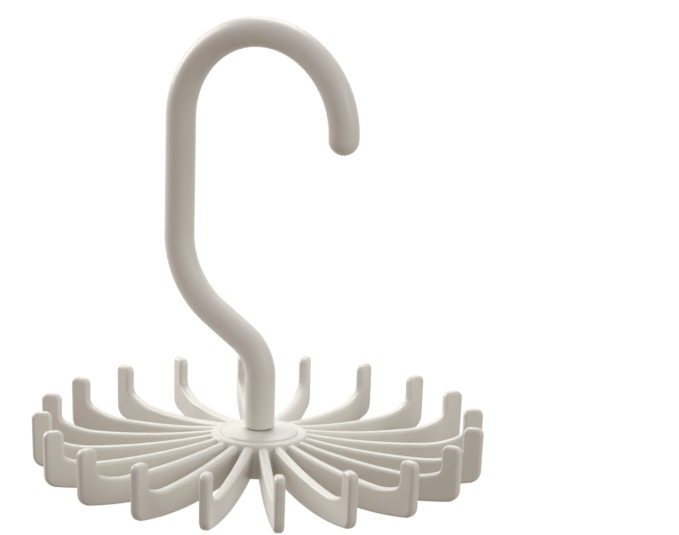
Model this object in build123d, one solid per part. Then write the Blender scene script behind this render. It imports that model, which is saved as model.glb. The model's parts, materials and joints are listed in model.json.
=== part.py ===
from build123d import *

import os
from math import cos, radians, sin, sqrt

# Revolving tie hanger, in millimetres.
# The origin is the rail seat: the point of the crown's inner side straight above the wheel's hub.
# +Z is up, the wheel turns about Z, and the hook lies in the XZ plane with its tip towards +X.

# Hook
BAR_DIAMETER = 9.3
CROWN_RADIUS = 28.8  # of the bar's centreline
STEM_OFFSET = 30.3  # from the upper stem's centreline to the wheel's axis
TIP_DROP = 1.0  # straight end, from the crown's centre height to the centre of the rounded tip
UPPER_STEM_LENGTH = 36.4
UPPER_BEND_RADIUS = 27.7
LOWER_BEND_RADIUS = 13.6
BEND_ANGLE = 57.8  # degrees that the bar leans between the two bends
LOWER_STEM_LENGTH = 15.8
SHOULDER_CHAMFER = 0.35

# Pivot at the foot of the hook
SHOULDER_WIDTH = 1.15  # step from the bar in to the pivot
BEARING_CLEARANCE = 0.05  # running fit, on the radius
NECK_CLEARANCE = 0.25  # round the pivot where it passes the cap, on the radius
SHOULDER_GAP = 0.5  # between the hook's shoulder and the cap
WASHER_PLAY = 0.1  # between the washer and the wheel

# Cap in the hub
CAP_CROWN_HEIGHT = 1.0  # from the cap's rounded edge up to its flat middle
CAP_EDGE_HEIGHT = 1.7
CAP_FLAT_MARGIN = 0.55  # of the flat middle beyond the bar
CAP_EDGE_ROUND = 0.7
CAP_STAND = 0.3  # how far the cap's edge stands above the rim
CAP_PRESS = 0.03  # press fit in the rim, on the radius

# Hub of the wheel
HUB_RADIUS = 14.9
HUB_HEIGHT = 10.9
RIM_WIDTH = 3.2  # from the outside in to the cap
SEAT_LEDGE = 0.8  # that the cap rests on, inside the rim
RIM_ROUND = 0.8
SEAT_ROUND = 0.5  # of the rim's inner edge
HUB_FLOOR = 1.6
BEARING_WALL = 2.4
RECESS_CLEARANCE = 1.5  # round the washer
RECESS_DEPTH = 3.2
HUB_FOOT_ROUND = 0.5

# Arms of the wheel
ARM_COUNT = 20
ARM_THICKNESS = 3.1
ARM_EDGE_ROUND = 1.1
WHEEL_RADIUS = 70.2  # to the fingers' outer faces, at their tops
FINGER_WIDTH = 6.2
FINGER_RISE = 6.9  # of the finger tops above the rim
FINGER_LEAN = 0.5  # how far a finger's outer face comes in at its foot
FINGER_TOP_ROUND = 2.1
FINGER_THROAT_ROUND = 2.8
HEEL_ROUND = 4.0
ROOT_DROP = 0.75  # of an arm's top edge below the rim, at the hub
SADDLE_INSET = 12.0  # from a finger in to where the arm's top edge is lowest
SADDLE_DROP = 4.2  # of that place below the rim
THROAT_DROP = 1.2  # of the top edge below the rim, at the finger
BELLY_INSET = 22.5  # from a finger in to where the arm's lower edge is lowest
BELLY_DROP = 12.8  # of that place below the rim
BELLY_CURVE = 140.0  # radius of the lower edge's sweep

# Washer and screw
WASHER_REACH = 2.5  # beyond the pivot
WASHER_THICKNESS = 0.8
WASHER_CHAMFER = 0.12
SCREW_HOLE_CLEARANCE = 0.2
SCREW_RADIUS = 1.5  # over the thread
THREAD_BITE = 0.2  # of the thread into the pivot, on the radius
SCREW_LENGTH = 9.0
SCREW_POINT = 1.5
SCREW_POINT_RADIUS = 0.3  # of its blunt end
SCREW_HEAD_RADIUS = 3.0
SCREW_HEAD_HEIGHT = 1.9
SCREW_HEAD_ROUND = 0.8
DRIVE_WIDTH = 0.8
DRIVE_SPAN = 3.4
DRIVE_DEPTH = 1.1
PILOT_SPARE = 1.0  # of the pilot hole beyond the screw's point

# One overrun serves every cut, and one share tells an edge from its neighbours
OVERRUN = 1.0
MATCH_SHARE = 0.01  # of the rounding or chamfer that the edge gets

# Places that follow from the sizes above
bar_radius = BAR_DIAMETER / 2
crown_x = CROWN_RADIUS - STEM_OFFSET
crown_z = -sqrt((CROWN_RADIUS - bar_radius) ** 2 - crown_x**2)
stem_x = -STEM_OFFSET
bend_sin = sin(radians(BEND_ANGLE))
bend_cos = cos(radians(BEND_ANGLE))
bend_run = (STEM_OFFSET - (UPPER_BEND_RADIUS + LOWER_BEND_RADIUS) * (1 - bend_cos)) / bend_sin
upper_bend_z = crown_z - UPPER_STEM_LENGTH
lower_bend_z = upper_bend_z - (UPPER_BEND_RADIUS + LOWER_BEND_RADIUS) * bend_sin - bend_run * bend_cos
shoulder_z = lower_bend_z - LOWER_STEM_LENGTH

pivot_radius = bar_radius - SHOULDER_WIDTH
bore_radius = pivot_radius + BEARING_CLEARANCE
washer_radius = pivot_radius + WASHER_REACH
cap_radius = HUB_RADIUS - RIM_WIDTH
hub_inner_radius = cap_radius - SEAT_LEDGE
wall_middle_radius = (HUB_RADIUS + hub_inner_radius) / 2
cap_top_z = shoulder_z - SHOULDER_GAP
cap_edge_z = cap_top_z - CAP_CROWN_HEIGHT
cap_base_z = cap_edge_z - CAP_EDGE_HEIGHT
rim_z = cap_edge_z - CAP_STAND
hub_base_z = rim_z - HUB_HEIGHT
recess_z = hub_base_z + RECESS_DEPTH
washer_top_z = recess_z - WASHER_PLAY
washer_base_z = washer_top_z - WASHER_THICKNESS


def ring(outer, inner, low, high):
    """A plain ring about Z between two heights."""
    disc = Pos(0, 0, low) * Cylinder(outer, high - low, align=(Align.CENTER, Align.CENTER, Align.MIN))
    hole = Pos(0, 0, low - OVERRUN) * Cylinder(
        inner, high - low + 2 * OVERRUN, align=(Align.CENTER, Align.CENTER, Align.MIN)
    )
    return disc - hole


def post(radius, low, high):
    """A plain cylinder about Z between two heights."""
    return Pos(0, 0, low) * Cylinder(radius, high - low, align=(Align.CENTER, Align.CENTER, Align.MIN))


def round_edges(shape, radius, height, size):
    """Round the circular edges of one radius at one height."""
    near = size * MATCH_SHARE
    picked = [
        edge
        for edge in shape.edges().filter_by(GeomType.CIRCLE)
        if abs(edge.radius - radius) < near and abs(edge.center().Z - height) < near
    ]
    return fillet(picked, size)


def make_hook():
    """The rail hook, its S-bend and the pivot, as one moulding."""
    tip = (crown_x + CROWN_RADIUS, crown_z - TIP_DROP)
    crown_end = (crown_x + CROWN_RADIUS, crown_z)
    crown_top = (crown_x, crown_z + CROWN_RADIUS)
    crown_start = (stem_x, crown_z)
    upper_bend = (stem_x, upper_bend_z)
    upper_centre = (stem_x + UPPER_BEND_RADIUS, upper_bend_z)
    lower_centre = (-LOWER_BEND_RADIUS, lower_bend_z)

    def on_bend(centre, radius, degrees):
        return (centre[0] + radius * cos(radians(degrees)), centre[1] + radius * sin(radians(degrees)))

    slant_top = on_bend(upper_centre, UPPER_BEND_RADIUS, 180 + BEND_ANGLE)
    slant_foot = on_bend(lower_centre, LOWER_BEND_RADIUS, BEND_ANGLE)
    upper_middle = on_bend(upper_centre, UPPER_BEND_RADIUS, 180 + BEND_ANGLE / 2)
    lower_middle = on_bend(lower_centre, LOWER_BEND_RADIUS, BEND_ANGLE / 2)
    with BuildLine(Plane.XZ) as route:
        Line(tip, crown_end)
        ThreePointArc(crown_end, crown_top, crown_start)
        Line(crown_start, upper_bend)
        ThreePointArc(upper_bend, upper_middle, slant_top)
        Line(slant_top, slant_foot)
        ThreePointArc(slant_foot, lower_middle, (0, lower_bend_z))
        Line((0, lower_bend_z), (0, shoulder_z))
    section = Plane(origin=(tip[0], 0, tip[1]), z_dir=(0, 0, 1)) * Circle(bar_radius)
    bar = sweep(section, path=route.wire())
    rounded_tip = Pos(tip[0], 0, tip[1]) * Sphere(bar_radius)
    bar = bar + rounded_tip
    foot = [
        edge
        for edge in bar.edges().filter_by(GeomType.CIRCLE)
        if abs(edge.center().Z - shoulder_z) < SHOULDER_CHAMFER * MATCH_SHARE
    ]
    bar = chamfer(foot, SHOULDER_CHAMFER)
    pivot = post(pivot_radius, washer_top_z, shoulder_z + OVERRUN)
    pilot_top = washer_base_z + SCREW_LENGTH + PILOT_SPARE
    pilot = post(SCREW_RADIUS - THREAD_BITE, washer_top_z - OVERRUN, pilot_top)
    return bar + pivot - pilot


def make_hub():
    """The cup-shaped hub: wall, floor, bearing tube and the recess under the floor."""
    wall = ring(HUB_RADIUS, hub_inner_radius, hub_base_z, rim_z)
    seat = post(cap_radius - CAP_PRESS, cap_base_z, rim_z + OVERRUN)
    web = ring(wall_middle_radius, bore_radius, hub_base_z, recess_z + HUB_FLOOR)
    tube = ring(bore_radius + BEARING_WALL, bore_radius, recess_z, cap_base_z)
    recess = post(washer_radius + RECESS_CLEARANCE, hub_base_z - OVERRUN, recess_z)
    hub = wall + web + tube - seat - recess
    hub = round_edges(hub, HUB_RADIUS, rim_z, RIM_ROUND)
    hub = round_edges(hub, cap_radius - CAP_PRESS, rim_z, SEAT_ROUND)
    return round_edges(hub, HUB_RADIUS, hub_base_z, HUB_FOOT_ROUND)


def make_arm():
    """One arm along +X: a thin blade with a dished top, a full belly and an upturned finger."""
    root = wall_middle_radius
    inner = WHEEL_RADIUS - FINGER_WIDTH
    saddle_radius = inner - SADDLE_INSET
    belly_radius = inner - BELLY_INSET
    outer_foot = WHEEL_RADIUS - FINGER_LEAN
    tip_z = rim_z + FINGER_RISE
    saddle_z = rim_z - SADDLE_DROP
    belly_z = rim_z - BELLY_DROP

    def dish(radius, end_radius, end_drop):
        """Height of the top edge on the arc that is level at the saddle and ends as given."""
        reach = end_radius - saddle_radius
        rise = SADDLE_DROP - end_drop
        bow = (reach**2 + rise**2) / (2 * rise)
        return saddle_z + bow - sqrt(bow**2 - (radius - saddle_radius) ** 2)

    def belly(radius):
        return belly_z + BELLY_CURVE - sqrt(BELLY_CURVE**2 - (radius - belly_radius) ** 2)

    root_middle = (HUB_RADIUS + saddle_radius) / 2
    throat_middle = (inner + saddle_radius) / 2
    saddle = (saddle_radius, saddle_z)
    throat = (inner, rim_z - THROAT_DROP)
    root_top = (root, dish(root, HUB_RADIUS, ROOT_DROP))
    heel = (outer_foot, belly(outer_foot))
    with BuildSketch() as side:
        with BuildLine():
            ThreePointArc(root_top, (root_middle, dish(root_middle, HUB_RADIUS, ROOT_DROP)), saddle)
            ThreePointArc(saddle, (throat_middle, dish(throat_middle, inner, THROAT_DROP)), throat)
            Polyline(throat, (inner, tip_z), (WHEEL_RADIUS, tip_z), heel)
            ThreePointArc(heel, (belly_radius, belly_z), (root, belly(root)))
            Line((root, belly(root)), root_top)
        make_face()

        def corner(place):
            return side.vertices().sort_by_distance(place)[0]

        fillet([corner((inner, tip_z)), corner((WHEEL_RADIUS, tip_z))], FINGER_TOP_ROUND)
        fillet(corner(throat), FINGER_THROAT_ROUND)
        fillet(corner(heel), HEEL_ROUND)
    blade = extrude(Plane.XZ * side.sketch, amount=ARM_THICKNESS / 2, both=True)
    outline = [
        edge
        for edge in blade.edges()
        if abs(abs(edge.center().Y) - ARM_THICKNESS / 2) < ARM_EDGE_ROUND * MATCH_SHARE
        and edge.center().X > root + ARM_EDGE_ROUND * MATCH_SHARE
    ]
    return fillet(outline, ARM_EDGE_ROUND)


def make_arm_wheel():
    """The wheel moulding: the hub with its arms evenly round it."""
    arm = make_arm()
    pitch = 360 / ARM_COUNT
    arms = [arm.rotate(Axis.Z, number * pitch) for number in range(ARM_COUNT)]
    return make_hub().fuse(*arms)


def make_hub_cap():
    """The domed cap that closes the hub, with a clear hole for the pivot."""
    hole = pivot_radius + NECK_CLEARANCE
    flat = bar_radius + CAP_FLAT_MARGIN
    bow = ((cap_radius - flat) ** 2 + CAP_CROWN_HEIGHT**2) / (2 * CAP_CROWN_HEIGHT)
    middle = (cap_radius + flat) / 2
    middle_z = cap_top_z - bow + sqrt(bow**2 - (middle - flat) ** 2)
    with BuildPart() as cap:
        with BuildSketch(Plane.XZ):
            with BuildLine():
                Polyline((hole, cap_base_z), (hole, cap_top_z), (flat, cap_top_z))
                ThreePointArc((flat, cap_top_z), (middle, middle_z), (cap_radius, cap_edge_z))
                Polyline((cap_radius, cap_edge_z), (cap_radius, cap_base_z), (hole, cap_base_z))
            make_face()
        revolve(axis=Axis.Z)
    return round_edges(cap.part, cap_radius, cap_edge_z, CAP_EDGE_ROUND)


def make_washer():
    """The washer that carries the wheel."""
    washer = ring(washer_radius, SCREW_RADIUS + SCREW_HOLE_CLEARANCE, washer_base_z, washer_top_z)
    outer = [edge for edge in washer.edges().filter_by(GeomType.CIRCLE) if edge.radius > SCREW_HEAD_RADIUS]
    return chamfer(outer, WASHER_CHAMFER)


def make_retaining_screw():
    """The pan-head screw that holds the washer to the end of the pivot."""
    head_base_z = washer_base_z - SCREW_HEAD_HEIGHT
    head = post(SCREW_HEAD_RADIUS, head_base_z, washer_base_z)
    head = round_edges(head, SCREW_HEAD_RADIUS, head_base_z, SCREW_HEAD_ROUND)
    shank = post(SCREW_RADIUS, washer_base_z - OVERRUN, washer_base_z + SCREW_LENGTH - SCREW_POINT)
    point = Pos(0, 0, washer_base_z + SCREW_LENGTH - SCREW_POINT) * Cone(
        SCREW_RADIUS, SCREW_POINT_RADIUS, SCREW_POINT, align=(Align.CENTER, Align.CENTER, Align.MIN)
    )
    slot = Box(
        DRIVE_SPAN,
        DRIVE_WIDTH,
        DRIVE_DEPTH + OVERRUN,
        align=(Align.CENTER, Align.CENTER, Align.MAX),
    )
    slot = Pos(0, 0, head_base_z + DRIVE_DEPTH) * slot
    return head + shank + point - slot - slot.rotate(Axis.Z, 90)


PIECES = {
    "hook": make_hook,
    "arm_wheel": make_arm_wheel,
    "hub_cap": make_hub_cap,
    "washer": make_washer,
    "retaining_screw": make_retaining_screw,
}

os.makedirs("parts", exist_ok=True)
for name, make in PIECES.items():
    piece = make()
    export_step(piece, f"parts/{name}.step")
    box = piece.bounding_box()
    print(name, "low", tuple(round(v, 2) for v in box.min), "high", tuple(round(v, 2) for v in box.max))
print("bend run", round(bend_run, 2), "shoulder", round(shoulder_z, 2), "rim", round(rim_z, 2))
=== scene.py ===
"""A revolving tie hanger: a round-bar hook, and under it a wheel of arms that turns on its foot."""

import json
from math import cos, pi, radians, sin
from types import SimpleNamespace

import bmesh
import bpy
from bpy.props import FloatProperty, FloatVectorProperty, IntProperty, PointerProperty
from mathutils import Matrix, Vector


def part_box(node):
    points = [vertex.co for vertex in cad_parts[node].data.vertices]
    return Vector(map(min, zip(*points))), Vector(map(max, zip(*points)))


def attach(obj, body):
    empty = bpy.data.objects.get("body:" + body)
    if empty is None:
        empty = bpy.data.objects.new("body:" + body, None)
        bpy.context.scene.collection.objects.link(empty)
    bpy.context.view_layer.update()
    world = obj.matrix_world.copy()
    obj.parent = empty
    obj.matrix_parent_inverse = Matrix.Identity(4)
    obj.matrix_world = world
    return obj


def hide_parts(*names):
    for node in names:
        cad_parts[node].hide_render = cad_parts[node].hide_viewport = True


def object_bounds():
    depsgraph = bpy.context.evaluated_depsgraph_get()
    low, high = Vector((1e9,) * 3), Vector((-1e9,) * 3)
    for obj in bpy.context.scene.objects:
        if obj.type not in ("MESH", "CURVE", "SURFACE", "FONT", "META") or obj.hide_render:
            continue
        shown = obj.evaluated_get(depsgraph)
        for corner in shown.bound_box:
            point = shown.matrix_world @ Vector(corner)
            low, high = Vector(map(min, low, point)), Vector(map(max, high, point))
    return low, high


bl_info = {
    "name": "Tie hanger",
    "version": (1, 0, 0),
    "blender": (4, 5, 0),
    "location": "3D View > Sidebar > Tie hanger",
    "description": "Builds a revolving tie hanger with its finishes, lights and camera",
    "category": "Object",
}

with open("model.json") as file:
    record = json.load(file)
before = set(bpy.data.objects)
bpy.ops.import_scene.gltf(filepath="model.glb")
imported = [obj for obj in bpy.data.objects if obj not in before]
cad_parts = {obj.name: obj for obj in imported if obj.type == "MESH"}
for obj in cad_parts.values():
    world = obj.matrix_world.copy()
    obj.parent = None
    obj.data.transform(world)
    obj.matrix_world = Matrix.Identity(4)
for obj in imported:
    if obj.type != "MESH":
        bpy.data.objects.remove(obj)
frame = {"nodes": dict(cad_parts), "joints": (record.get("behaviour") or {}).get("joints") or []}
cad_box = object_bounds()

# The wheel turns about Z, and its rim's top is the height that the wheel is measured from
RIM_HEIGHT = frame["joints"][0]["pos_m"][2]
AXLE_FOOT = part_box("hook")[0].z

# Z is the wheel's axis, and is square to the plane that every outline is drawn in
Z_AXIS = (0.0, 0.0, 1.0)
FULL_TURN = 2 * pi
STAND_UP = (pi / 2, 0.0, 0.0)

# Corners that are nearer than this are made one
WELD = 2e-6

# Faces round the bar and round the hub
BAR_SIDES = 64
HUB_SIDES = 200

# Flat steps in the roundings of the hook
TIP_STEPS = 12
CROWN_STEPS = 90
UPPER_BEND_STEPS = 60
LOWER_BEND_STEPS = 40

# Flat steps in the roundings of an arm
SWEEP_STEPS = 28
LIFT_STEPS = 12
THROAT_STEPS = 8
FINGER_STEPS = 7
HEEL_STEPS = 10
EDGE_STEPS = 7

# Flat steps in the roundings of the hub, and in the small ones on the hub and the hook's shoulder
RIM_STEPS = 8
SEAT_STEPS = 6
FOOT_STEPS = 6
SMALL_STEPS = 3

# Radius of the small edges inside the hub
SMALL_ROUND = 0.00015

# How far ahead of a corner the sweep towards it ends, in radii of that corner's rounding
THROAT_REACH = 0.65
HEEL_REACH = 1.15

# How far an arm's rounded edge reaches in over its sides, in radii of that edge's rounding
LIP_REACH = 1.15

# Moulded plastic: the line that the mould leaves, and how much its tone and grain change its gloss
SEAM_HEIGHT = 0.00003
MOTTLE_DETAIL = 3.0
MOTTLE_ROUGHNESS = 0.08
GRAIN_ROUGHNESS = 0.06
PLASTIC_IOR = 1.49

# Zinc plate: its dull spots and turning marks, how much each dulls the colour, and its gloss
SPOT_SIZE = 0.002
SPOT_DETAIL = 3.0
RING_DETAIL = 2.0
RING_DEPTH = 0.000004
SPOT_DULLING = 0.6
RING_DULLING = 0.3
STEEL_ROUGHNESS = 0.24
SPOT_ROUGHNESS = 0.14
RING_ROUGHNESS = 0.08

# Room and floor: what the camera sees, and the light that each sends to the object
WHITE = (1.0, 1.0, 1.0)
ROOM_TONE = (1.0, 0.925, 0.93)
FLOOR_GLOW = (0.22, 0.17, 0.12)
FLOOR_RADIUS = 30.0
FLOOR_SIDES = 96

LAMP_DISTANCE = 1.5
LAMP_SIZE = 0.9
LAMPS = {
    # name: (azimuth, elevation, watts, colour), with the azimuth and elevation of a camera there
    "Top back": (209, 52, 9.8, (0.95, 1.0, 0.95)),
    "Left": (269, 20, 12.5, (0.95, 1.0, 0.97)),
    "Right": (89, 20, 5.0, (0.90, 1.0, 0.93)),
}

CAMERA_PLACE = (0.4021, -0.6746, 0.1129)
CAMERA_HEADING = radians(29.08)
CAMERA_PITCH = radians(12.91)
CAMERA_ROLL = radians(1.54)
SENSOR_WIDTH = 36.0
CLIP_START = 0.01
CLIP_END = 100.0


def length(name, description, default):
    """A length in metres."""
    return FloatProperty(
        name=name,
        description=description,
        default=default,
        min=0.0,
        precision=5,
        unit="LENGTH",
        subtype="DISTANCE",
    )


def colour(name, description, default):
    """A colour, in linear light."""
    return FloatVectorProperty(
        name=name,
        description=description,
        default=default,
        min=0.0,
        max=1.0,
        subtype="COLOR",
    )


class HookSizes(bpy.types.PropertyGroup):
    """Sizes of the hook."""

    bar_diameter: length("Bar diameter", "Thickness of the round bar", 0.0093)
    crown_radius: length("Crown radius", "Radius of the bar's centreline round the crown", 0.0288)
    stem_offset: length("Stem offset", "From the upper stem to the wheel's axis", 0.0303)
    tip_drop: length("Tip drop", "Straight end of the hook below the crown", 0.001)
    upper_stem: length("Upper stem", "Straight part between the crown and the first bend", 0.0364)
    upper_bend: length("Upper bend", "Radius of the first bend", 0.0277)
    lower_bend: length("Lower bend", "Radius of the second bend", 0.0136)
    bend_angle: FloatProperty(
        name="Bend angle",
        description="How far the bar leans between its two bends",
        default=radians(57.8),
        min=radians(5),
        max=radians(85),
        unit="ROTATION",
        subtype="ANGLE",
    )
    lower_stem: length("Lower stem", "Straight part between the second bend and the shoulder", 0.0158)
    shoulder_chamfer: length("Shoulder chamfer", "Chamfer round the foot of the stem", 0.00035)
    shoulder_width: length("Shoulder width", "Step from the bar in to the pivot", 0.00115)
    ring_spacing: length("Ring spacing", "Distance between the rings of faces along the bar", 0.001)


class WheelSizes(bpy.types.PropertyGroup):
    """Sizes of the wheel."""

    arm_count: IntProperty(
        name="Arm count",
        description="How many arms the wheel has",
        default=20,
        min=3,
        max=60,
    )
    arm_thickness: length("Arm thickness", "Across one arm", 0.0031)
    arm_round: length("Arm round", "Radius along the edges of an arm", 0.0011)
    wheel_radius: length("Wheel radius", "To the outer faces of the fingers", 0.0702)
    finger_width: length("Finger width", "Of a finger, seen from its side", 0.0062)
    finger_rise: length("Finger rise", "Of the finger tops above the rim", 0.0069)
    finger_lean: length("Finger lean", "How far a finger's outer face comes in at its foot", 0.0005)
    finger_round: length("Finger round", "Radius of the finger's top corners", 0.0021)
    throat_round: length("Throat round", "Radius where the arm turns up into its finger", 0.0028)
    heel_round: length("Heel round", "Radius of the corner under the finger", 0.004)
    root_drop: length("Root drop", "Of an arm's top edge below the rim, at the hub", 0.00075)
    saddle_inset: length("Saddle inset", "From a finger in to where the top edge is lowest", 0.012)
    saddle_drop: length("Saddle drop", "Of the lowest place of the top edge below the rim", 0.0042)
    throat_drop: length("Throat drop", "Of the top edge below the rim, at the finger", 0.0012)
    belly_inset: length("Belly inset", "From a finger in to where the lower edge is lowest", 0.0225)
    belly_drop: length("Belly drop", "Of the lower edge's lowest place below the rim", 0.0128)
    belly_curve: length("Belly curve", "Radius of the lower edge's sweep", 0.14)
    hub_radius: length("Hub radius", "To the outside of the rim", 0.0149)
    hub_height: length("Hub height", "From the hub's foot to the rim's top", 0.0109)
    rim_width: length("Rim width", "From the hub's outside in to the cap's seat", 0.00323)
    seat_ledge: length("Seat ledge", "Width of the step that the cap rests on", 0.0008)
    seat_depth: length("Seat depth", "Of the cap's seat below the rim", 0.0014)
    rim_round: length("Rim round", "Radius of the rim's outer edge", 0.0008)
    seat_round: length("Seat round", "Radius of the rim's inner edge", 0.0005)
    foot_round: length("Foot round", "Radius of the edge under the hub", 0.0005)
    bore_radius: length("Bore radius", "Of the bearing that the pivot turns in", 0.00355)
    tube_wall: length("Tube wall", "Thickness of the bearing tube", 0.0024)
    floor_height: length("Floor height", "Of the hub's floor above its recess", 0.0016)
    recess_radius: length("Recess radius", "Of the recess for the washer", 0.0075)
    recess_depth: length("Recess depth", "Of the recess for the washer", 0.0032)


class PlasticFinish(bpy.types.PropertyGroup):
    """Finish of the moulded plastic."""

    pale: colour("Pale tone", "Where the plastic is clearest", (0.86, 0.835, 0.785))
    deep: colour("Deep tone", "Where the plastic is a little denser", (0.82, 0.785, 0.73))
    mottle_size: length("Mottle size", "Size of the soft changes in tone", 0.018)
    grain_size: length("Grain size", "Size of the fine grain of the mould's surface", 0.00035)
    grain_depth: length("Grain depth", "Depth of that grain", 0.0000015)
    roughness: FloatProperty(
        name="Roughness",
        description="How matt the plastic is",
        default=0.34,
        min=0.0,
        max=1.0,
        subtype="FACTOR",
    )
    seam_width: length("Seam width", "Width of the fine line that the mould leaves", 0.00012)


class SteelFinish(bpy.types.PropertyGroup):
    """Finish of the washer and the screw."""

    bright: colour("Zinc", "Colour of the zinc plate", (0.66, 0.67, 0.69))
    dull: colour("Dull zinc", "Colour of the zinc plate where it has dulled", (0.50, 0.51, 0.53))
    turning: length("Turning marks", "Distance between the fine rings that turning leaves", 0.00018)


class StageSettings(bpy.types.PropertyGroup):
    """Floor, room and camera."""

    floor_drop: length("Floor drop", "Of the floor below the hook's seat", 1.6)
    floor_colour: colour("Floor colour", "Colour of the floor", (0.02, 0.02, 0.02))
    room_light: FloatProperty(
        name="Room light",
        description="Level of the light all round",
        default=0.42,
        min=0.0,
    )
    lens: FloatProperty(
        name="Lens",
        description="Focal length of the camera",
        default=139.6,
        min=1.0,
        unit="CAMERA",
    )


class Wire:
    """One output of a node, which takes part in Python expressions."""

    def __init__(self, net, socket):
        self.net = net
        self.socket = socket

    def other(self, name):
        """Another output of the same node."""
        return Wire(self.net, find(self.socket.node.outputs, name))

    def calc(self, operation, *terms):
        """A Math node, or a Vector Math node where a term is a vector."""
        if any(isinstance(term, Wire) and term.socket.type == "VECTOR" for term in terms):
            return self.net.vector_math(operation, *terms)
        return self.net.math(operation, *terms)

    def __add__(self, other):
        return self.calc("ADD", self, other)

    def __radd__(self, other):
        return self.calc("ADD", other, self)

    def __sub__(self, other):
        return self.calc("SUBTRACT", self, other)

    def __rsub__(self, other):
        return self.calc("SUBTRACT", other, self)

    def __mul__(self, other):
        return self.calc("MULTIPLY", self, other)

    def __rmul__(self, other):
        return self.calc("MULTIPLY", other, self)

    def __truediv__(self, other):
        return self.calc("DIVIDE", self, other)

    def __pow__(self, other):
        return self.calc("POWER", self, other)

    def __neg__(self):
        return self.calc("MULTIPLY", self, -1.0)


def find(sockets, key):
    """A socket by its number, or the one in use that has a name."""
    if isinstance(key, int):
        return sockets[key]
    return next(socket for socket in sockets if socket.name == key and socket.enabled)


class Net:
    """Adds nodes to one node tree."""

    def __init__(self, tree):
        self.tree = tree

    def add(self, kind, settings=None, inputs=None, output=0):
        """A node of a kind: its settings first, then the values or links of its sockets."""
        node = self.tree.nodes.new(kind)
        for name, value in (settings or {}).items():
            if name == "items":
                while len(node.index_switch_items) < value:
                    node.index_switch_items.new()
            else:
                setattr(node, name, value)
        for key, value in (inputs or {}).items():
            socket = find(node.inputs, key)
            for one in value if isinstance(value, list) else [value]:
                if isinstance(one, Wire):
                    self.tree.links.new(one.socket, socket)
                elif socket.type == "VECTOR" and isinstance(one, (int, float)):
                    socket.default_value = (one, one, one)
                else:
                    socket.default_value = one
        return Wire(self, find(node.outputs, output))

    def end(self, kind, key, wire):
        """The output node that a tree ends in."""
        node = self.tree.nodes.new(kind)
        self.tree.links.new(wire.socket, find(node.inputs, key))

    def math(self, operation, *terms):
        """A Math node."""
        return self.add("ShaderNodeMath", {"operation": operation}, dict(enumerate(terms)))

    def vector_math(self, operation, *terms, output="Vector"):
        """A Vector Math node."""
        return self.add("ShaderNodeVectorMath", {"operation": operation}, dict(enumerate(terms)), output)

    def vector(self, x, y, z):
        """A vector from three numbers or wires."""
        return self.add("ShaderNodeCombineXYZ", None, {"X": x, "Y": y, "Z": z})

    def parts(self, vector):
        """The three numbers of a vector."""
        first = self.add("ShaderNodeSeparateXYZ", None, {0: vector})
        return first, first.other("Y"), first.other("Z")

    def choose(self, index, kind, values):
        """One of several values, by a counter."""
        inputs = {"Index": index}
        inputs.update({number + 1: value for number, value in enumerate(values)})
        return self.add("GeometryNodeIndexSwitch", {"data_type": kind, "items": len(values)}, inputs)

    def mix(self, share, first, second):
        """A colour from one to another, by the second's share."""
        inputs = {"Factor": share, "A": (*first, 1.0), "B": (*second, 1.0)}
        return self.add("ShaderNodeMix", {"data_type": "RGBA"}, inputs, "Result")

    def bump(self, height):
        """The surface's direction, from a height in metres."""
        return self.add("ShaderNodeBump", None, {"Height": height, "Distance": 1.0, "Strength": 1.0})


def open_shape(label, sizes):
    """A Geometry Nodes tree with a named input for each size, and the wires of those inputs."""
    tree = bpy.data.node_groups.new(label, "GeometryNodeTree")
    tree.is_modifier = True
    tree.interface.new_socket("Geometry", in_out="OUTPUT", socket_type="NodeSocketGeometry")
    props = [sizes.bl_rna.properties[key] for key in sizes.__annotations__]
    for prop in props:
        kind = "NodeSocketInt" if prop.type == "INT" else "NodeSocketFloat"
        socket = tree.interface.new_socket(prop.name, in_out="INPUT", socket_type=kind)
        socket.description = prop.description
        socket.default_value = prop.default
    tree.interface.new_socket("Material", in_out="INPUT", socket_type="NodeSocketMaterial")
    net = Net(tree)
    first = net.add("NodeGroupInput")
    wires = {prop.identifier: first.other(prop.name) for prop in props}
    return net, SimpleNamespace(**wires, material=first.other("Material"))


def close_shape(net, sizes, geometry):
    """Ends a tree: smooth shading, plain faces for the instances, and the piece's material."""
    geometry = net.add("GeometryNodeSetShadeSmooth", None, {"Geometry": geometry})
    geometry = net.add("GeometryNodeRealizeInstances", None, {"Geometry": geometry})
    geometry = net.add("GeometryNodeSetMaterial", None, {"Geometry": geometry, "Material": sizes.material})
    net.end("NodeGroupOutput", 0, geometry)


def sharp(x, y):
    """A corner of an outline that isn't rounded."""
    return x, y, 0.0, 1


def outline(net, corners, closed=True):
    """A flat curve through corners (x, y, radius, steps), each rounded by its radius in its steps."""
    index = net.add("GeometryNodeInputIndex")
    place = net.choose(index, "VECTOR", [net.vector(x, y, 0.0) for x, y, _, _ in corners])
    line = net.add("GeometryNodeMeshLine", None, {"Count": len(corners)})
    line = net.add("GeometryNodeSetPosition", None, {"Geometry": line, "Position": place})
    curve = net.add("GeometryNodeMeshToCurve", None, {"Mesh": line})
    curve = net.add("GeometryNodeSetSplineCyclic", None, {"Geometry": curve, "Cyclic": closed})
    radius = net.choose(index, "FLOAT", [radius for _, _, radius, _ in corners])
    steps = net.choose(index, "INT", [steps for _, _, _, steps in corners])
    return net.add(
        "GeometryNodeFilletCurve",
        {"mode": "POLY"},
        {"Curve": curve, "Count": steps, "Radius": radius, "Limit Radius": True},
    )


def point_count(net, curve):
    """How many points a curve has."""
    settings = {"component": "CURVE"}
    return net.add("GeometryNodeAttributeDomainSize", settings, {"Geometry": curve}, "Point Count")


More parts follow.
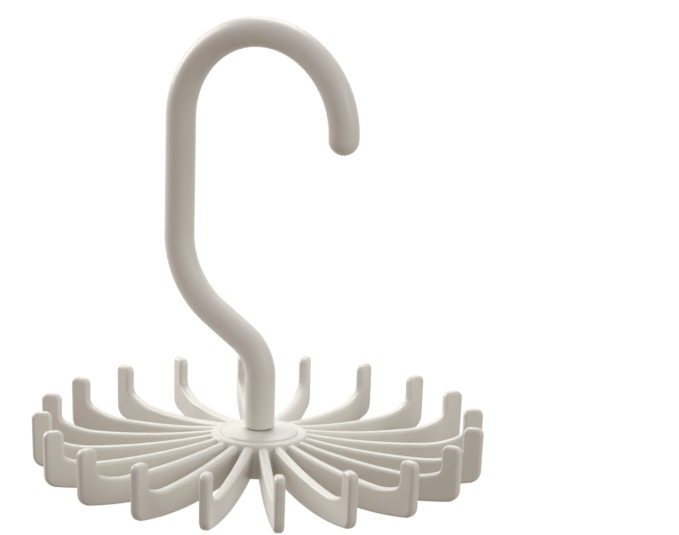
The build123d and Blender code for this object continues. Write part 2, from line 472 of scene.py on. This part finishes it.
def read(net, curve, number, value=None):
    """The place of one point of a curve, or another value there."""
    value = value or net.add("GeometryNodeInputPosition")
    settings = {"data_type": "FLOAT_VECTOR", "domain": "POINT"}
    inputs = {"Geometry": curve, "Value": value, "Index": number}
    return net.add("GeometryNodeSampleIndex", settings, inputs)


def skin(net, columns, rows, place):
    """A grid of faces whose corners a function of their column and row puts in place."""
    grid = net.add("GeometryNodeMeshGrid", None, {"Vertices X": columns, "Vertices Y": rows}, "Mesh")
    index = net.add("GeometryNodeInputIndex")
    # The half keeps the division clear of a whole number, where rounding could take it either way
    column = net.math("FLOOR", (index + 0.5) / rows)
    row = index - column * rows
    return net.add("GeometryNodeSetPosition", None, {"Geometry": grid, "Position": place(column, row)})


def weld(net, parts):
    """Parts joined, with their shared corners made one."""
    joined = net.add("GeometryNodeJoinGeometry", None, {"Geometry": parts})
    return net.add("GeometryNodeMergeByDistance", None, {"Geometry": joined, "Distance": WELD})


def add_rings(net, curve, spacing):
    """A curve with points added, so that none is further than the spacing from the next."""
    index = net.add("GeometryNodeInputIndex")
    here = net.add("GeometryNodeInputPosition")
    inputs = {"Index": index + 1, "Value": here}
    following = net.add("GeometryNodeFieldAtIndex", {"data_type": "FLOAT_VECTOR"}, inputs)
    gap = net.vector_math("DISTANCE", here, following, output="Value")
    cuts = net.math("FLOOR", gap / spacing)
    return net.add("GeometryNodeSubdivideCurve", None, {"Curve": curve, "Cuts": cuts})


def hook_shape(sizes):
    """The bar as a round profile that follows the hook's line, from its tip to its pivot's end."""
    net, s = open_shape("Rail hook", sizes)
    bar = s.bar_diameter / 2
    crown_x = s.crown_radius - s.stem_offset
    crown_z = -(((s.crown_radius - bar) ** 2 - crown_x**2) ** 0.5)
    tip_x = crown_x + s.crown_radius
    top_z = crown_z + s.crown_radius
    stem_x = -s.stem_offset
    bend_reach = net.math("TANGENT", s.bend_angle / 2)
    upper_z = crown_z - s.upper_stem - s.upper_bend * bend_reach
    lower_z = upper_z - s.stem_offset / net.math("TANGENT", s.bend_angle)
    shoulder_z = lower_z - s.lower_bend * bend_reach - s.lower_stem
    route = outline(
        net,
        [
            sharp(tip_x, crown_z - s.tip_drop - bar),
            (tip_x, top_z, s.crown_radius, CROWN_STEPS),
            (stem_x, top_z, s.crown_radius, CROWN_STEPS),
            (stem_x, upper_z, s.upper_bend, UPPER_BEND_STEPS),
            (0.0, lower_z, s.lower_bend, LOWER_BEND_STEPS),
            sharp(0.0, AXLE_FOOT),
        ],
        closed=False,
    )
    total = net.add("GeometryNodeCurveLength", None, {"Curve": route})
    pivot_length = shoulder_z - AXLE_FOOT
    shoulder = total - pivot_length
    pivot = bar - s.shoulder_width
    chamfer = s.shoulder_chamfer
    bar_edge = chamfer / 4
    foot_edge = chamfer / 5
    profile = outline(
        net,
        [
            sharp(0.0, 0.0),
            (0.0, bar, bar, TIP_STEPS),
            (shoulder - chamfer, bar, bar_edge, SMALL_STEPS),
            (shoulder, bar - chamfer, foot_edge, SMALL_STEPS),
            sharp(shoulder, pivot),
            sharp(total, pivot),
            sharp(total, 0.0),
        ],
        closed=False,
    )
    profile = add_rings(net, profile, s.ring_spacing)

    def place(column, row):
        along, radius, _ = net.parts(read(net, profile, row))
        inputs = {"Curves": route, "Length": along}
        spot = net.add("GeometryNodeSampleCurve", {"mode": "LENGTH"}, inputs, "Position")
        across = net.vector_math("CROSS_PRODUCT", spot.other("Tangent"), Z_AXIS)
        angle = column * (FULL_TURN / BAR_SIDES)
        x, z, _ = net.parts(spot + across * (radius * net.math("COSINE", angle)))
        return net.vector(x, radius * net.math("SINE", angle), z)

    close_shape(net, s, weld(net, [skin(net, BAR_SIDES + 1, point_count(net, profile), place)]))
    return net.tree


def arm_side(net, s):
    """One arm's outline from its side, X outwards from the wheel's axis and Y up from the rim's top."""
    root = s.hub_radius - s.rim_width / 2
    throat = s.wheel_radius - s.finger_width
    heel = s.wheel_radius - s.finger_lean

    # The top edge falls in one sweep to its lowest place, and lifts in another to the finger
    saddle = throat - s.saddle_inset
    saddle_z = -s.saddle_drop
    dish = (s.hub_radius + saddle) / 2
    dish_reach = saddle - s.hub_radius
    dish_fall = s.saddle_drop - s.root_drop
    dish_slope = dish_fall / (saddle - dish)
    dish_curve = (dish_reach**2 + dish_fall**2) / (2 * dish_fall)
    lift_rise = s.saddle_drop - s.throat_drop
    lift_curve = (s.saddle_inset**2 + lift_rise**2) / (2 * lift_rise)
    lift_end = throat - s.throat_round * THROAT_REACH
    lift_slope = (lift_end - saddle) / lift_curve
    lift = (lift_end + saddle) / 2
    throat_z = (throat - lift) * lift_slope - s.saddle_drop

    # The lower edge is one sweep from the hub's outside to the heel
    lowest = throat - s.belly_inset

    def belly(radius):
        """Height and slope of the lower edge, at a distance from the axis."""
        centre = (s.belly_curve**2 - (radius - lowest) ** 2) ** 0.5
        return s.belly_curve - s.belly_drop - centre, (radius - lowest) / centre

    start = s.hub_radius
    start_z, start_slope = belly(start)
    end = heel - s.heel_round * HEEL_REACH
    end_z, end_slope = belly(end)
    sweep = (end_z - start_z + start_slope * start - end_slope * end) / (start_slope - end_slope)
    sweep_z = end_z + end_slope * (sweep - end)
    heel_z = end_z + end_slope * (heel - end)
    return outline(
        net,
        [
            sharp(root, dish_slope * (dish - root) - s.saddle_drop),
            (dish, saddle_z, dish_curve, SWEEP_STEPS),
            (lift, saddle_z, lift_curve, LIFT_STEPS),
            (throat, throat_z, s.throat_round, THROAT_STEPS),
            (throat, s.finger_rise, s.finger_round, FINGER_STEPS),
            (s.wheel_radius, s.finger_rise, s.finger_round, FINGER_STEPS),
            (heel, heel_z, s.heel_round, HEEL_STEPS),
            (sweep, sweep_z, s.belly_curve, SWEEP_STEPS),
            sharp(root, start_z - start_slope * (start - root)),
        ],
    )


def arm_shape(net, s):
    """One arm along +X, measured from the rim's height: a thin blade with rounded edges."""
    side = arm_side(net, s)
    lip = s.arm_round * LIP_REACH
    half = s.arm_thickness / 2
    edge = outline(
        net,
        [
            sharp(-lip, -half),
            (0.0, -half, s.arm_round, EDGE_STEPS),
            (0.0, half, s.arm_round, EDGE_STEPS),
            sharp(-lip, half),
        ],
        closed=False,
    )
    tangent = net.add("GeometryNodeInputTangent")
    count = point_count(net, side)

    def place(column, row):
        number = net.math("FLOORED_MODULO", column, count)
        outward = net.vector_math("CROSS_PRODUCT", Z_AXIS, read(net, side, number, tangent))
        inset, height, _ = net.parts(read(net, edge, row))
        return read(net, side, number) + outward * inset + net.vector(0.0, 0.0, height)

    band = skin(net, count + 1, point_count(net, edge), place)
    inward = net.vector_math("CROSS_PRODUCT", Z_AXIS, tangent) * -lip
    inner = net.add("GeometryNodeSetPosition", None, {"Geometry": side, "Offset": inward})
    face = net.add("GeometryNodeFillCurve", {"mode": "NGONS"}, {"Curve": inner})
    flats = []
    for height in (-half, half):
        inputs = {"Geometry": face, "Translation": net.vector(0.0, 0.0, height)}
        flats.append(net.add("GeometryNodeTransform", None, inputs))
    blade = weld(net, [band, *flats])
    return net.add("GeometryNodeTransform", None, {"Geometry": blade, "Rotation": STAND_UP})


def hub_shape(net, s):
    """The cup-shaped hub, measured from the rim's height."""
    foot = -s.hub_height
    ceiling = s.recess_depth - s.hub_height
    floor = s.recess_depth + s.floor_height - s.hub_height
    ledge = -s.seat_depth
    tube = s.bore_radius + s.tube_wall
    seat = s.hub_radius - s.rim_width
    inner = seat - s.seat_ledge
    small = (SMALL_ROUND, SMALL_STEPS)
    wider = (2 * SMALL_ROUND, SMALL_STEPS)
    section = outline(
        net,
        [
            (s.hub_radius, 0.0, s.rim_round, RIM_STEPS),
            (s.hub_radius, foot, s.foot_round, FOOT_STEPS),
            (s.recess_radius, foot, *small),
            (s.recess_radius, ceiling, *small),
            (s.bore_radius, ceiling, *small),
            (s.bore_radius, ledge, *small),
            (tube, ledge, *small),
            (tube, floor, *wider),
            (inner, floor, *wider),
            (inner, ledge, *small),
            (seat, ledge, *small),
            (seat, 0.0, s.seat_round, SEAT_STEPS),
        ],
    )
    count = point_count(net, section)

    def place(column, row):
        number = net.math("FLOORED_MODULO", row, count)
        radius, height, _ = net.parts(read(net, section, number))
        angle = column * (FULL_TURN / HUB_SIDES)
        return net.vector(radius * net.math("COSINE", angle), radius * net.math("SINE", angle), height)

    return weld(net, [skin(net, HUB_SIDES + 1, count + 1, place)])


def wheel_shape(sizes):
    """The hub with its arms evenly round it."""
    net, s = open_shape("Arm wheel", sizes)
    points = net.add("GeometryNodePoints", None, {"Count": s.arm_count})
    angle = net.add("GeometryNodeInputIndex") * FULL_TURN / s.arm_count
    turn = net.add("FunctionNodeAxisAngleToRotation", None, {"Axis": Z_AXIS, "Angle": angle})
    inputs = {"Points": points, "Instance": arm_shape(net, s), "Rotation": turn}
    arms = net.add("GeometryNodeInstanceOnPoints", None, inputs)
    whole = net.add("GeometryNodeJoinGeometry", None, {"Geometry": [hub_shape(net, s), arms]})
    inputs = {"Geometry": whole, "Translation": (0.0, 0.0, RIM_HEIGHT)}
    close_shape(net, s, net.add("GeometryNodeTransform", None, inputs))
    return net.tree


def add_object(name, data):
    """A new object in the scene."""
    thing = bpy.data.objects.new(name, data)
    bpy.context.scene.collection.objects.link(thing)
    return thing


def make_piece(name, tree, sizes, material):
    """A plain mesh from a Geometry Nodes tree, its inputs set from a size group."""
    piece = add_object(name, bpy.data.meshes.new(name))
    modifier = piece.modifiers.new("Shape", "NODES")
    modifier.node_group = tree
    properties = sizes.bl_rna.properties
    by_label = {properties[key].name: getattr(sizes, key) for key in type(sizes).__annotations__}
    by_label["Material"] = material
    for item in tree.interface.items_tree:
        if item.in_out == "INPUT":
            modifier[item.identifier] = by_label[item.name]
    graph = bpy.context.evaluated_depsgraph_get()
    mesh = bpy.data.meshes.new_from_object(piece.evaluated_get(graph), depsgraph=graph)
    piece.modifiers.clear()
    empty = piece.data
    piece.data = mesh
    bpy.data.meshes.remove(empty)
    mesh.name = name
    if not mesh.polygons:
        raise RuntimeError(f"{name} has no faces")
    faces = bmesh.new()
    faces.from_mesh(mesh)
    bmesh.ops.recalc_face_normals(faces, faces=faces.faces)
    faces.to_mesh(mesh)
    faces.free()
    return piece


def dress(node, material):
    """Gives a CAD node a better material."""
    for slot in frame["nodes"][node].material_slots:
        slot.material = material


def clear_net(owner):
    """The node tree of a material or a world, emptied."""
    owner.use_nodes = True
    owner.node_tree.nodes.clear()
    return Net(owner.node_tree)


def open_material(name):
    """A new material, its net, and the place on the piece."""
    material = bpy.data.materials.new(name)
    net = clear_net(material)
    return material, net, net.add("ShaderNodeTexCoord", None, None, "Object")


def close_material(net, inputs):
    """Ends a material in its surface shader."""
    surface = net.add("ShaderNodeBsdfPrincipled", None, inputs)
    net.end("ShaderNodeOutputMaterial", "Surface", surface)


def noise(net, place, size, detail=2.0):
    """A soft random value, with spots of a size."""
    inputs = {"Vector": place, "Scale": 1.0 / size, "Detail": detail}
    return net.add("ShaderNodeTexNoise", None, inputs, "Fac")


def plastic(name, finish, seam=False):
    """Moulded plastic: a soft change of tone, a fine grain, and if asked the mould's line along Y = 0."""
    material, net, place = open_material(name)
    cloud = noise(net, place, finish.mottle_size, MOTTLE_DETAIL)
    grain = noise(net, place, finish.grain_size)
    height = grain * finish.grain_depth
    if seam:
        _, y, _ = net.parts(place)
        line = net.math("MAXIMUM", 1 - net.math("ABSOLUTE", y) / finish.seam_width, 0.0)
        height = height + line * SEAM_HEIGHT
    rough = finish.roughness + MOTTLE_ROUGHNESS * (cloud - 0.5) + GRAIN_ROUGHNESS * (grain - 0.5)
    inputs = {
        "Base Color": net.mix(cloud, finish.deep, finish.pale),
        "Roughness": rough,
        "Normal": net.bump(height),
        "IOR": PLASTIC_IOR,
    }
    close_material(net, inputs)
    return material


def steel(name, finish):
    """Bright zinc plate with dull spots and fine turning marks round the axis."""
    material, net, place = open_material(name)
    x, y, z = net.parts(place)
    radius = (x**2 + y**2) ** 0.5
    # Radius and height together draw rings on the flat faces and on the upright ones
    inputs = {"W": (radius + z) / finish.turning, "Scale": 1.0, "Detail": RING_DETAIL}
    rings = net.add("ShaderNodeTexNoise", {"noise_dimensions": "1D"}, inputs, "Fac")
    cloud = noise(net, place, SPOT_SIZE, SPOT_DETAIL)
    dulling = cloud * SPOT_DULLING + rings * RING_DULLING
    inputs = {
        "Base Color": net.mix(dulling, finish.bright, finish.dull),
        "Roughness": STEEL_ROUGHNESS + SPOT_ROUGHNESS * cloud + RING_ROUGHNESS * rings,
        "Metallic": 1.0,
        "Normal": net.bump(rings * RING_DEPTH),
    }
    close_material(net, inputs)
    return material


def seen_directly(net):
    """1 for what is seen straight, in a reflection or through glass, and 0 for light on the object."""
    path = net.add("ShaderNodeLightPath", None, None, "Is Camera Ray")
    seen = net.math("MAXIMUM", path, path.other("Is Glossy Ray"))
    return net.math("MAXIMUM", seen, path.other("Is Transmission Ray"))


def make_floor(settings):
    """A wide pale floor, far below the hanger."""
    material = bpy.data.materials.new("Pale floor")
    net = clear_net(material)
    tone = net.mix(seen_directly(net), FLOOR_GLOW, WHITE)
    shade = net.add("ShaderNodeBsdfDiffuse", None, {"Color": (*settings.floor_colour, 1.0)})
    glow = net.add("ShaderNodeEmission", None, {"Color": tone, "Strength": 1.0})
    both = net.add("ShaderNodeAddShader", None, {0: shade, 1: glow})
    net.end("ShaderNodeOutputMaterial", "Surface", both)
    faces = bmesh.new()
    bmesh.ops.create_circle(faces, cap_ends=True, segments=FLOOR_SIDES, radius=FLOOR_RADIUS)
    bmesh.ops.translate(faces, verts=faces.verts, vec=(0.0, 0.0, -settings.floor_drop))
    mesh = bpy.data.meshes.new("floor")
    faces.to_mesh(mesh)
    faces.free()
    mesh.materials.append(material)
    add_object("floor", mesh)


def make_room(scene, settings):
    """White all round for the camera, and an even soft light for the object."""
    world = bpy.data.worlds.new("Room")
    net = clear_net(world)
    seen = seen_directly(net)
    inputs = {
        "Color": net.mix(seen, ROOM_TONE, WHITE),
        "Strength": settings.room_light + (1 - settings.room_light) * seen,
    }
    net.end("ShaderNodeOutputWorld", "Surface", net.add("ShaderNodeBackground", None, inputs))
    scene.world = world


def make_lamps():
    """Large soft lamps, aimed at the middle of the hanger."""
    low, high = cad_box
    middle = (low + high) / 2
    for name, (azimuth, elevation, watts, tone) in LAMPS.items():
        turn = radians(azimuth)
        lift = radians(elevation)
        back = Vector((sin(turn) * cos(lift), -cos(turn) * cos(lift), sin(lift)))
        data = bpy.data.lights.new(name, "AREA")
        data.shape = "SQUARE"
        data.size = LAMP_SIZE
        data.energy = watts
        data.color = tone
        lamp = add_object(name, data)
        lamp.location = middle + back * LAMP_DISTANCE
        lamp.rotation_euler = back.to_track_quat("Z", "Y").to_euler()


def make_camera(scene, settings):
    """The camera, which sees the hook from its side and the wheel a little from above."""
    turn = CAMERA_HEADING
    dip = CAMERA_PITCH
    ahead = Vector((-sin(turn) * cos(dip), cos(turn) * cos(dip), -sin(dip)))
    right = Vector((cos(turn), sin(turn), 0.0))
    up = right.cross(ahead)
    side = right * cos(CAMERA_ROLL) + up * sin(CAMERA_ROLL)
    top = up * cos(CAMERA_ROLL) - right * sin(CAMERA_ROLL)
    data = bpy.data.cameras.new("Camera")
    data.lens = settings.lens
    data.sensor_width = SENSOR_WIDTH
    data.clip_start = CLIP_START
    data.clip_end = CLIP_END
    camera = add_object("Camera", data)
    facing = Matrix((side, top, -ahead)).transposed().to_4x4()
    camera.matrix_world = Matrix.Translation(CAMERA_PLACE) @ facing
    scene.camera = camera


class TIEHANGER_OT_hook(bpy.types.Operator):
    """Build the hook with its pivot"""

    bl_idname = "tiehanger.hook"
    bl_label = "Build hook"
    bl_options = {"REGISTER", "UNDO"}

    def execute(self, context):
        sizes = context.scene.tiehanger_hook
        material = plastic("Hook plastic", context.scene.tiehanger_plastic, seam=True)
        piece = make_piece("rail_hook", hook_shape(sizes), sizes, material)
        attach(piece, "hook_body")
        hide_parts("hook")
        return {"FINISHED"}


class TIEHANGER_OT_wheel(bpy.types.Operator):
    """Build the hub with its arms"""

    bl_idname = "tiehanger.wheel"
    bl_label = "Build wheel"
    bl_options = {"REGISTER", "UNDO"}

    def execute(self, context):
        sizes = context.scene.tiehanger_wheel
        material = plastic("Wheel plastic", context.scene.tiehanger_plastic)
        piece = make_piece("tie_wheel", wheel_shape(sizes), sizes, material)
        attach(piece, "wheel_body")
        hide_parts("arm_wheel")
        return {"FINISHED"}


class TIEHANGER_OT_cap(bpy.types.Operator):
    """Finish the cap in the hub"""

    bl_idname = "tiehanger.cap"
    bl_label = "Finish cap"
    bl_options = {"REGISTER", "UNDO"}

    def execute(self, context):
        dress("hub_cap", plastic("Cap plastic", context.scene.tiehanger_plastic))
        return {"FINISHED"}


class TIEHANGER_OT_fasteners(bpy.types.Operator):
    """Finish the washer and the screw under the hub"""

    bl_idname = "tiehanger.fasteners"
    bl_label = "Finish washer and screw"
    bl_options = {"REGISTER", "UNDO"}

    def execute(self, context):
        material = steel("Zinc plate", context.scene.tiehanger_steel)
        for node in ("washer", "retaining_screw"):
            dress(node, material)
        return {"FINISHED"}


class TIEHANGER_OT_stage(bpy.types.Operator):
    """Set the floor, the room, the lamps and the camera"""

    bl_idname = "tiehanger.stage"
    bl_label = "Set stage"
    bl_options = {"REGISTER", "UNDO"}

    def execute(self, context):
        settings = context.scene.tiehanger_stage
        make_floor(settings)
        make_room(context.scene, settings)
        make_lamps()
        make_camera(context.scene, settings)
        context.scene.view_settings.view_transform = "Standard"
        return {"FINISHED"}


GROUPS = {
    "tiehanger_hook": HookSizes,
    "tiehanger_wheel": WheelSizes,
    "tiehanger_plastic": PlasticFinish,
    "tiehanger_steel": SteelFinish,
    "tiehanger_stage": StageSettings,
}
OPERATORS = (
    TIEHANGER_OT_hook,
    TIEHANGER_OT_wheel,
    TIEHANGER_OT_cap,
    TIEHANGER_OT_fasteners,
    TIEHANGER_OT_stage,
)


class TIEHANGER_PT_panel(bpy.types.Panel):
    """The hanger's steps and sizes"""

    bl_idname = "TIEHANGER_PT_panel"
    bl_label = "Tie hanger"
    bl_space_type = "VIEW_3D"
    bl_region_type = "UI"
    bl_category = "Tie hanger"

    def draw(self, context):
        for step in OPERATORS:
            self.layout.operator(step.bl_idname)
        for name, group in GROUPS.items():
            box = self.layout.box()
            box.label(text=group.__doc__)
            for key in group.__annotations__:
                box.prop(getattr(context.scene, name), key)


CLASSES = (*GROUPS.values(), *OPERATORS, TIEHANGER_PT_panel)


def register():
    """Add the hanger's classes, and its settings on the scene."""
    for one in CLASSES:
        bpy.utils.register_class(one)
    for name, group in GROUPS.items():
        setattr(bpy.types.Scene, name, PointerProperty(type=group))


def unregister():
    """Take the settings and the classes away again."""
    for name in GROUPS:
        delattr(bpy.types.Scene, name)
    for one in reversed(CLASSES):
        bpy.utils.unregister_class(one)


def main():
    """Build every piece and the stage."""
    register()
    bpy.ops.tiehanger.hook()
    bpy.ops.tiehanger.wheel()
    bpy.ops.tiehanger.cap()
    bpy.ops.tiehanger.fasteners()
    bpy.ops.tiehanger.stage()


if __name__ == "__main__":
    main()
